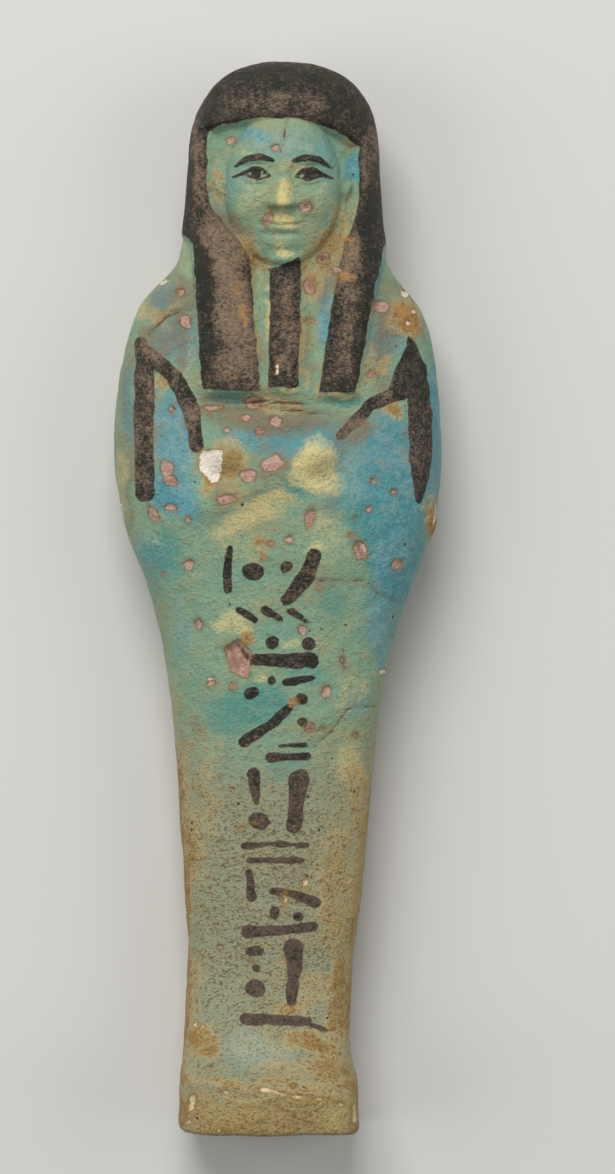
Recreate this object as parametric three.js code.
// A mummiform funerary figurine (ushabti) of moulded, glazed faience, lying on its back.
// Units are millimetres. +Z is up, away from the surface that the figure lies on, +Y runs towards
// the crown of its head and +X towards its left side. The origin is on that surface, midway along it.
import * as THREE from "three";

// Driving dimensions
const LENGTH = 115;
const CROWN_Y = LENGTH / 2;
const SOLE_Y = -LENGTH / 2;
const CROWN_START_Y = 46;
const CROWN_SQUARENESS = 2.45;
const SOLE_EDGE_RADIUS = 1.3;

// Landmarks up the body: its place, half width, height of the plain front and back above the
// resting surface, height of its widest line, and how square the front and back of the section are.
// A back below zero is worn flat where the figure rests on it.
const LANDMARKS = [
  { name: "sole", y: SOLE_Y, half: 9.65, front: 19.2, back: -0.25, wide: 7.8, frontSquare: 4.6, backSquare: 3.6 },
  { name: "toes", y: -52.4, half: 9.5, front: 20.0, back: -0.2, wide: 7.4, frontSquare: 4.4, backSquare: 3.5 },
  { name: "instep", y: -49, half: 9.0, front: 15.2, back: -0.1, wide: 6.4, frontSquare: 3.7, backSquare: 3.2 },
  { name: "ankle", y: -45.5, half: 8.9, front: 12.2, back: 0.25, wide: 6.0, frontSquare: 3.3, backSquare: 3.0 },
  { name: "shin", y: -40, half: 9.0, front: 11.7, back: 0.45, wide: 5.9, frontSquare: 3.1, backSquare: 2.9 },
  { name: "calf", y: -30, half: 9.8, front: 12.5, back: 0.4, wide: 6.1, frontSquare: 2.9, backSquare: 2.8 },
  { name: "knee", y: -19, half: 10.45, front: 13.5, back: 0.3, wide: 6.4, frontSquare: 2.8, backSquare: 2.8 },
  { name: "thigh", y: -8.5, half: 11.8, front: 14.6, back: -0.2, wide: 6.8, frontSquare: 2.7, backSquare: 2.8 },
  { name: "hip", y: 1, half: 14.25, front: 15.6, back: -0.15, wide: 7.1, frontSquare: 2.6, backSquare: 2.8 },
  { name: "waist", y: 9.5, half: 17.05, front: 16.4, back: 0.4, wide: 7.3, frontSquare: 2.5, backSquare: 2.7 },
  { name: "elbow", y: 16, half: 17.7, front: 16.2, back: 0.5, wide: 7.3, frontSquare: 2.4, backSquare: 2.7 },
  { name: "chest", y: 24, half: 17.05, front: 15.4, back: 0.3, wide: 7.2, frontSquare: 2.4, backSquare: 2.7 },
  { name: "shoulder", y: 30.5, half: 15.5, front: 14.9, back: -0.2, wide: 7.3, frontSquare: 2.4, backSquare: 2.7 },
  { name: "throat", y: 36.8, half: 11.1, front: 15.5, back: -0.25, wide: 7.6, frontSquare: 2.4, backSquare: 2.5 },
  { name: "temple", y: CROWN_START_Y, half: 10.2, front: 16.3, back: 0.1, wide: 8.0, frontSquare: 2.4, backSquare: 2.4 },
];

// The wig: its opening shows the face and throat between the fringe above and a lappet on each side
const WIG = { fringeY: 51.2, fringeCurve: 0.028, openingHalf: 8.2, cheekY: 43.5, throatY: 35.5, edge: 1.7 };
const HEM = { y: 21.4, slope: 0.6, rise: 0.95, fadeStartY: 33, fadeEndY: 40 };
const TAIL = { y: 27.5, half: 10.2, slope: 0.4, rise: 0.45 };
// Where the lappets and the tail sink into the wig, and where the wig closes round behind the face
const MERGE = { startY: 34, endY: 42 };
const WRAP = { startY: 35, endY: 39, width: 6 };
const LAPPETS = {
  right: { inner: 2.1, innerFlare: 0.09, outer: 8.25, outerFlare: 0.085, crown: 0.4 },
  left: { inner: 4.2, innerFlare: 0.14, outer: 8.1, outerFlare: 0.175, crown: 0.4 },
};
const BEARD = { x: 0.4, half: 1.7, topY: 36.6, rise: 1.0 };
const THROAT = { startY: 31.5, endY: 35.5, rise: 0.3 };

// The face, on the usual thirds: fringe to brow, brow to the foot of the nose, that to the chin
const CHIN_Y = 36.6;
const FACE_THIRD = (WIG.fringeY - CHIN_Y) / 3;
const BROW_Y = WIG.fringeY - FACE_THIRD;
const NOSE_FOOT_Y = BROW_Y - FACE_THIRD;
const FACE = { y: 43.8, half: 6.6, halfLength: 8.4, recess: -1.25, rise: 2.15, roundness: 0.6 };
const EYE = { x: 2.75, y: BROW_Y - 1.35 };
const MOUTH_Y = NOSE_FOOT_Y - FACE_THIRD * 0.36;
const NOSE = { rootHalf: 0.605, footHalf: 1.1, rootRise: 0.35, tipRise: 1.6, swell: 1.3, foot: 0.35 };
const NOSTRIL = { x: 0.95, y: NOSE_FOOT_Y + 0.45, half: 0.75, halfHeight: 0.85, rise: 0.55 };
const EAR = { x: 7.35, y: (BROW_Y + NOSE_FOOT_Y) / 2 + 0.4, half: 0.95, halfHeight: 2.3, rise: 1.0 };

// Low round mounds and hollows of the face, the same on both sides of its middle; arch bends one down
// towards its ends
const FEATURES = [
  { name: "socket", x: EYE.x, y: EYE.y, half: 2.6, halfHeight: 1.7, rise: -0.4 },
  { name: "lids", x: EYE.x, y: EYE.y, half: 1.8125, halfHeight: 0.775, rise: 0.42 },
  { name: "brow", x: EYE.x, y: EYE.y + 1.75, half: 2.6, halfHeight: 0.75, rise: 0.25, arch: 0.09 },
  { name: "cheek", x: 3.3, y: NOSE_FOOT_Y + 0.7, half: 2.6, halfHeight: 2.6, rise: 0.35 },
  { name: "upper lip", x: 0, y: MOUTH_Y + 0.42, half: 2.3, halfHeight: 0.7, rise: 0.42 },
  { name: "lower lip", x: 0, y: MOUTH_Y - 0.45, half: 1.9, halfHeight: 0.75, rise: 0.45 },
  { name: "chin", x: 0, y: CHIN_Y + 1.1, half: 2.4, halfHeight: 1.6, rise: 0.55 },
];

// The crossed arms show as low ridges under the wrapping, with a fist at the end of each
const ARMS = [
  { elbow: [-13.5, 7.2], fist: [4.4, 14.5], ridge: 0.75, spread: 2.1, fistHalf: 2.9, fistRise: 1.15 },
  { elbow: [13.5, 7.2], fist: [-5.6, 14.8], ridge: 0.45, spread: 2.1, fistHalf: 2.7, fistRise: 1.1 },
];

// Stretches of cross-sections from the sole up: where each starts, and how many it holds
const STRETCHES = [
  { from: SOLE_Y + SOLE_EDGE_RADIUS, rows: 9 },
  { from: -45.5, rows: 11 },
  { from: -4, rows: 6 },
  { from: 10, rows: 9 },
  { from: HEM.y - HEM.slope, rows: 1 },
  { from: HEM.y + HEM.slope, rows: 13 },
  { from: 35, rows: 22 },
  { from: WIG.fringeY + 0.4, rows: 1 },
];
const CROWN_ROWS = 7;
const SOLE_EDGE_ROWS = 3;
const FRONT_COLUMNS = 44;
const BACK_COLUMNS = 16;
const SECTION_SAMPLES = 240;

// Moulded detail fades out where the surface turns away from straight up or straight down
const FACING = { none: 0.05, full: 0.4 };

const clamp = (v, low, high) => Math.min(high, Math.max(low, v));
const mix = (a, b, share) => a + (b - a) * share;

function smoothStep(low, high, v) {
  const t = clamp((v - low) / (high - low), 0, 1);
  return t * t * (3 - 2 * t);
}

// A round hill that is 1 at its middle and 0 from one radius away
function hill(dx, dy) {
  const r = dx * dx + dy * dy;
  return r < 1 ? (1 - r) * (1 - r) : 0;
}

// A hill of given place, size and rise, and its mirror image across the middle
function moundRise(x, y, mound) {
  const dx = Math.abs(x) - mound.x;
  const dy = y - mound.y + (mound.arch ?? 0) * dx * dx;
  return mound.rise * hill(dx / mound.half, dy / mound.halfHeight);
}

// The slope of one landmark measure at each landmark, limited so that the curve never overshoots
function landmarkSlopes(key) {
  const secants = LANDMARKS.slice(1).map((b, i) => (b[key] - LANDMARKS[i][key]) / (b.y - LANDMARKS[i].y));
  return LANDMARKS.map((_, i) => {
    const below = secants[i - 1] ?? secants[0];
    const above = secants[i] ?? secants.at(-1);
    return below * above <= 0 ? 0 : (2 * below * above) / (below + above);
  });
}

const MEASURES = ["half", "front", "back", "wide", "frontSquare", "backSquare"];
const SLOPES = Object.fromEntries(MEASURES.map((key) => [key, landmarkSlopes(key)]));

// A landmark measure anywhere up the body, on a smooth curve through the landmarks
function measureAt(key, y) {
  const last = LANDMARKS.length - 1;
  const at = clamp(y, LANDMARKS[0].y, LANDMARKS[last].y);
  const i = clamp(LANDMARKS.findLastIndex((mark) => mark.y <= at), 0, last - 1);
  const [low, high] = [LANDMARKS[i], LANDMARKS[i + 1]];
  const span = high.y - low.y;
  const t = (at - low.y) / span;
  const [lowSlope, highSlope] = [SLOPES[key][i] * span, SLOPES[key][i + 1] * span];
  return (
    (2 * t ** 3 - 3 * t ** 2 + 1) * low[key] +
    (t ** 3 - 2 * t ** 2 + t) * lowSlope +
    (3 * t ** 2 - 2 * t ** 3) * high[key] +
    (t ** 3 - t ** 2) * highSlope
  );
}

// Rows of the grid from the sole to just under the crown: each has its place and two changes to the
// section there, an even inset at the sole's rounded edge and a shrinking share over the crown
function gridRows() {
  const rows = [];
  for (let i = 0; i < SOLE_EDGE_ROWS; i++) {
    const turn = (i / SOLE_EDGE_ROWS) * (Math.PI / 2);
    const inset = SOLE_EDGE_RADIUS * (1 - Math.sin(turn));
    rows.push({ y: SOLE_Y + SOLE_EDGE_RADIUS * (1 - Math.cos(turn)), inset, share: 1 });
  }
  STRETCHES.forEach((stretch, i) => {
    const end = STRETCHES[i + 1]?.from ?? stretch.from;
    for (let k = 0; k < stretch.rows; k++) {
      rows.push({ y: mix(stretch.from, end, k / stretch.rows), inset: 0, share: 1 });
    }
  });
  const top = (rows.at(-1).y - CROWN_START_Y) / (CROWN_Y - CROWN_START_Y);
  const start = Math.asin(top ** (CROWN_SQUARENESS / 2));
  for (let i = 1; i <= CROWN_ROWS; i++) {
    const turn = mix(start, Math.PI / 2, i / (CROWN_ROWS + 1));
    rows.push({ y: mix(CROWN_START_Y, CROWN_Y, Math.sin(turn) ** (2 / CROWN_SQUARENESS)), inset: 0, share: 1 });
  }
  for (const row of rows) {
    const t = clamp((row.y - CROWN_START_Y) / (CROWN_Y - CROWN_START_Y), 0, 1);
    row.share = (1 - t ** CROWN_SQUARENESS) ** (1 / CROWN_SQUARENESS);
  }
  return rows;
}

// One half of a section, from its widest point round to the other side, with its points evenly
// spaced: half an ellipse whose squareness above 2 fills its corners
function sectionArc(half, height, squareness, columns) {
  const points = [];
  for (let i = 0; i <= SECTION_SAMPLES; i++) {
    const turn = (i / SECTION_SAMPLES) * Math.PI;
    const x = -Math.sign(Math.cos(turn)) * Math.abs(Math.cos(turn)) ** (2 / squareness) * half;
    points.push(new THREE.Vector2(x, Math.sin(turn) ** (2 / squareness) * height));
  }
  const lengths = points.map((p, i) => (i ? p.distanceTo(points[i - 1]) : 0));
  for (let i = 1; i < lengths.length; i++) lengths[i] += lengths[i - 1];
  const arc = [];
  for (let k = 0, i = 0; k < columns; k++) {
    const target = (k / columns) * lengths.at(-1);
    while (lengths[i + 1] < target) i++;
    const share = (target - lengths[i]) / (lengths[i + 1] - lengths[i]);
    arc.push(points[i].clone().lerp(points[i + 1], share));
  }
  return arc;
}

// The closed ring of plain points at one row: over the front from right to left, then under the back
function sectionRing({ y, inset, share }) {
  const wide = measureAt("wide", y);
  const half = (measureAt("half", y) - inset) * share;
  const rise = (measureAt("front", y) - inset - wide) * share;
  const drop = (wide - measureAt("back", y) - inset) * share;
  const front = sectionArc(half, rise, measureAt("frontSquare", y), FRONT_COLUMNS);
  const back = sectionArc(half, drop, measureAt("backSquare", y), BACK_COLUMNS);
  return [
    ...front.map((p) => new THREE.Vector3(p.x, y, wide + p.y)),
    ...back.map((p) => new THREE.Vector3(-p.x, y, wide - p.y)),
  ];
}

// How far inside the wig's opening a point is: above zero in the face and throat
function openingDepth(x, y) {
  const lappet = x < 0 ? LAPPETS.right : LAPPETS.left;
  const inner = lappet.inner + lappet.innerFlare * (y - HEM.y);
  const side = mix(inner, WIG.openingHalf, smoothStep(WIG.throatY, WIG.cheekY, y));
  return Math.min(side - Math.abs(x), WIG.fringeY - WIG.fringeCurve * x * x - y);
}

// How far inside the outer edge of the lappets a point is; above them the wig reaches all round
function lappetDepth(x, y) {
  const lappet = x < 0 ? LAPPETS.right : LAPPETS.left;
  const wrap = WRAP.width * smoothStep(WRAP.startY, WRAP.endY, y);
  const outer = lappet.outer + lappet.outerFlare * (y - HEM.y) + wrap;
  return outer - Math.abs(x);
}

function lappetCrown(x, y) {
  const lappet = x < 0 ? LAPPETS.right : LAPPETS.left;
  const inner = lappet.inner + lappet.innerFlare * (y - HEM.y);
  const outer = lappet.outer + lappet.outerFlare * (y - HEM.y);
  const across = (Math.abs(x) - (inner + outer) / 2) / ((outer - inner) / 2);
  return lappet.crown * Math.max(0, 1 - across * across);
}

function beardRise(x, y) {
  const across = (x - BEARD.x) / BEARD.half;
  const round = Math.abs(across) < 1 ? Math.sqrt(1 - across * across) : 0;
  return BEARD.rise * round * smoothStep(BEARD.topY + 0.8, BEARD.topY - 0.4, y);
}

function noseRise(x, y) {
  const down = clamp((BROW_Y - y) / FACE_THIRD, 0, 1);
  const half = mix(NOSE.rootHalf, NOSE.footHalf, down);
  const ridge = mix(NOSE.rootRise, NOSE.tipRise, down ** NOSE.swell) * Math.exp(-((x / half) ** 2));
  const foot = smoothStep(NOSE_FOOT_Y - NOSE.foot, NOSE_FOOT_Y + NOSE.foot, y);
  return (ridge * smoothStep(BROW_Y + 1.2, BROW_Y - 0.6, y) + moundRise(x, y, NOSTRIL)) * foot;
}

// The height of the face and throat against the plain front, inside the wig's opening
function faceRise(x, y) {
  const r = (x / FACE.half) ** 2 + ((y - FACE.y) / FACE.halfLength) ** 2;
  const mask = r < 1 ? (1 - r) ** FACE.roundness : 0;
  const ground = mix(THROAT.rise, FACE.recess, smoothStep(THROAT.startY, THROAT.endY, y));
  const mounds = FEATURES.reduce((sum, feature) => sum + moundRise(x, y, feature), 0);
  const features = mask > 0 ? mounds + noseRise(x, y) : 0;
  return ground + FACE.rise * mask + features + moundRise(x, y, EAR) + beardRise(x, y);
}

// A low ridge from the elbow to the fist, and the fist itself
function armRise(x, y, arm) {
  const [ex, ey] = arm.elbow;
  const [fx, fy] = arm.fist;
  const along = clamp(((x - ex) * (fx - ex) + (y - ey) * (fy - ey)) / ((fx - ex) ** 2 + (fy - ey) ** 2), 0, 1);
  const off = Math.hypot(x - mix(ex, fx, along), y - mix(ey, fy, along));
  const ridge = arm.ridge * smoothStep(0, 0.5, along) * Math.exp(-((off / arm.spread) ** 2));
  return ridge + arm.fistRise * hill((x - fx) / arm.fistHalf, (y - fy) / arm.fistHalf);
}

// The height of all the moulded detail on the front against the plain surface
function frontRise(x, y) {
  const within = smoothStep(-WIG.edge / 2, WIG.edge / 2, lappetDepth(x, y)) * (y > HEM.y ? 1 : 0);
  const open = smoothStep(-WIG.edge / 2, WIG.edge / 2, openingDepth(x, y));
  const worn = HEM.rise * (1 - smoothStep(HEM.fadeStartY, HEM.fadeEndY, y));
  const wig = worn + lappetCrown(x, y) * (1 - smoothStep(MERGE.startY, MERGE.endY, y));
  const headdress = mix(wig, faceRise(x, y), open) * within;
  return headdress + ARMS.reduce((sum, arm) => sum + armRise(x, y, arm), 0) * (1 - within);
}

// The height of the wig's tail, which ends square across the upper back
function backRise(x, y) {
  const above = smoothStep(TAIL.y - TAIL.slope, TAIL.y + TAIL.slope, y);
  const across = smoothStep(TAIL.half + TAIL.slope, TAIL.half - TAIL.slope, Math.abs(x));
  return TAIL.rise * above * across * (1 - smoothStep(MERGE.startY, MERGE.endY, y));
}

// The plain grid with its moulded detail raised along the surface's own direction, and its back
// flattened where the figure rests
function mouldedRings(rows) {
  const rings = rows.map(sectionRing);
  const columns = rings[0].length;
  const crown = new THREE.Vector3(0, CROWN_Y, measureAt("wide", CROWN_START_Y));
  return rings.map((ring, r) =>
    ring.map((point, c) => {
      const below = r ? rings[r - 1][c] : point;
      const above = rings[r + 1]?.[c] ?? crown;
      const up = new THREE.Vector3().subVectors(above, below);
      const around = new THREE.Vector3().subVectors(ring[(c + 1) % columns], ring[(c + columns - 1) % columns]);
      const facing = around.cross(up).normalize();
      const rise =
        smoothStep(FACING.none, FACING.full, facing.z) * frontRise(point.x, point.y) +
        smoothStep(FACING.none, FACING.full, -facing.z) * backRise(point.x, point.y);
      const moulded = point.clone().addScaledVector(facing, rise);
      moulded.z = Math.max(moulded.z, 0);
      return moulded;
    }),
  );
}

// A closed surface: bands between the rings, a point at the crown and a flat fan over the sole. Each
// four-sided cell is split along its shorter diagonal, which follows the moulded edges.
function closedGeometry(rings) {
  const columns = rings[0].length;
  const sole = new THREE.Vector3(0, SOLE_Y, measureAt("wide", SOLE_Y));
  const crown = new THREE.Vector3(0, CROWN_Y, measureAt("wide", CROWN_START_Y));
  const points = [...rings.flat(), sole, crown];
  const [soleIndex, crownIndex] = [points.length - 2, points.length - 1];
  const lastRing = (rings.length - 1) * columns;
  const index = [];
  for (let c = 0; c < columns; c++) {
    const next = (c + 1) % columns;
    for (let low = 0; low < lastRing; low += columns) {
      const [a, b, p, q] = [low + c, low + next, low + columns + next, low + columns + c];
      const straight = points[a].distanceTo(points[p]) < points[b].distanceTo(points[q]);
      index.push(...(straight ? [a, b, p, a, p, q] : [a, b, q, b, p, q]));
    }
    index.push(soleIndex, next, c, crownIndex, lastRing + c, lastRing + next);
  }
  const geometry = new THREE.BufferGeometry().setFromPoints(points);
  geometry.setIndex(index);
  geometry.computeVertexNormals();
  return geometry;
}

// Turquoise glaze over the whole moulded body
function figurine() {
  const glaze = new THREE.MeshStandardMaterial({ color: 0x6fa596, roughness: 0.45, metalness: 0 });
  const mesh = new THREE.Mesh(closedGeometry(mouldedRings(gridRows())), glaze);
  mesh.name = "figurine";
  return mesh;
}

const ushabti = new THREE.Group();
ushabti.add(figurine());

export default ushabti;
